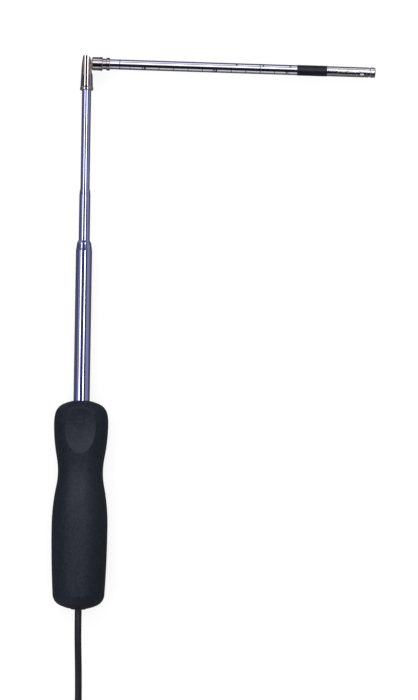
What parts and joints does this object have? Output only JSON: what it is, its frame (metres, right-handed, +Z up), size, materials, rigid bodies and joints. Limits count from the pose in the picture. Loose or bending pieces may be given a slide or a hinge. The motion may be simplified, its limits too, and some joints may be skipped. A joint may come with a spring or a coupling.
{
  "type": "telescoping air velocity probe",
  "caption": "Telescoping air velocity probe with a folding sensor arm, a moulded handle and a cable with a round connector, for measuring air flow in ducts.",
  "frame": {"origin": "bottom centre of the box of the probe as it lies on a table, without its cord", "axes": "+Z up from the table, +Y along the wand from the handle towards the knuckle, +X along the folded sensor arm"},
  "size_m": [0.219, 0.5317, 0.0431],
  "materials": {
    "handle_plastic": "fine grained satin moulding",
    "screw_steel": "plated",
    "guide_rubber": "matte",
    "tube_chrome": "polished",
    "brass": "turned",
    "cable_black": "smooth jacket",
    "knuckle_nickel": "dark nickel plating",
    "arm_steel": "polished, with a printed depth scale",
    "band_black": "heat-shrunk sleeve",
    "insulator": "moulded",
    "sensor_ceramic": "coated ceramic rod",
    "sensor_glass": "glass bead",
    "tie_fabric": "hook and loop strap",
    "plug_plastic": "moulded",
    "pin_gold": "gold plated"
  },
  "bodies": {
    "handle": {"handle_front_shell": "handle_plastic", "handle_rear_shell": "handle_plastic", "handle_screws": "screw_steel", "cable_guide_bush": "guide_rubber", "base_tube": "tube_chrome", "tube_anchor_ring": "brass", "cable_lead": "cable_black", "cable_coil": "cable_black", "coil_tie": "tie_fabric", "cable_tail": "cable_black", "connector_boot": "guide_rubber", "connector_body": "plug_plastic", "connector_shell": "knuckle_nickel", "connector_insert": "insulator", "connector_pins": "pin_gold"},
    "stage2_slider": {"stage2_sleeve": "brass"},
    "stage2": {"stage2_tube": "tube_chrome"},
    "stage3_slider": {"stage3_sleeve": "brass"},
    "stage3": {"stage3_tube": "tube_chrome"},
    "stage4_slider": {"stage4_sleeve": "brass"},
    "stage4": {"stage4_tube": "tube_chrome", "inner_lead": "cable_black", "wand_knuckle": "knuckle_nickel", "pivot_screw": "screw_steel", "pivot_washers": "brass"},
    "arm": {"arm_knuckle": "knuckle_nickel", "arm_lock_ring": "knuckle_nickel", "arm_tube": "arm_steel", "tube_joiner": "brass", "sensor_band": "band_black", "tip_tube": "arm_steel", "tip_cap": "arm_steel", "sensor_carrier": "insulator", "velocity_sensor": "sensor_ceramic", "temperature_sensor": "sensor_glass", "sensor_harness": "cable_black"}
  },
  "joints": [
    {"name": "stage2_slide", "type": "slide", "parent": "handle", "child": "stage2_slider", "axis": [-0.0002, 0.9984, -0.0564], "range_m": [0, 0.182]},
    {"name": "stage2_swivel", "type": "hinge", "parent": "stage2_slider", "child": "stage2", "pos_m": [-0.09033, 0.05878, 0.01182], "axis": [-0.0002, 0.9984, -0.0564], "range_deg": [-180, 180]},
    {"name": "stage3_slide", "type": "slide", "parent": "stage2", "child": "stage3_slider", "axis": [-0.0002, 0.9984, -0.0564], "range_m": [-0.034, 0.146]},
    {"name": "stage3_swivel", "type": "hinge", "parent": "stage3_slider", "child": "stage3", "pos_m": [-0.09033, 0.05878, 0.01182], "axis": [-0.0002, 0.9984, -0.0564], "range_deg": [-180, 180]},
    {"name": "stage4_slide", "type": "slide", "parent": "stage3", "child": "stage4_slider", "axis": [-0.0002, 0.9984, -0.0564], "range_m": [-0.067, 0.112]},
    {"name": "stage4_swivel", "type": "hinge", "parent": "stage4_slider", "child": "stage4", "pos_m": [-0.09033, 0.05878, 0.01182], "axis": [-0.0002, 0.9984, -0.0564], "range_deg": [-180, 180]},
    {"name": "arm_fold", "type": "hinge", "parent": "stage4", "child": "arm", "pos_m": [-0.09135, 0.18667, 0.00461], "axis": [0.0062, 0.0564, 0.9984], "range_deg": [0, 91]}
  ]
}
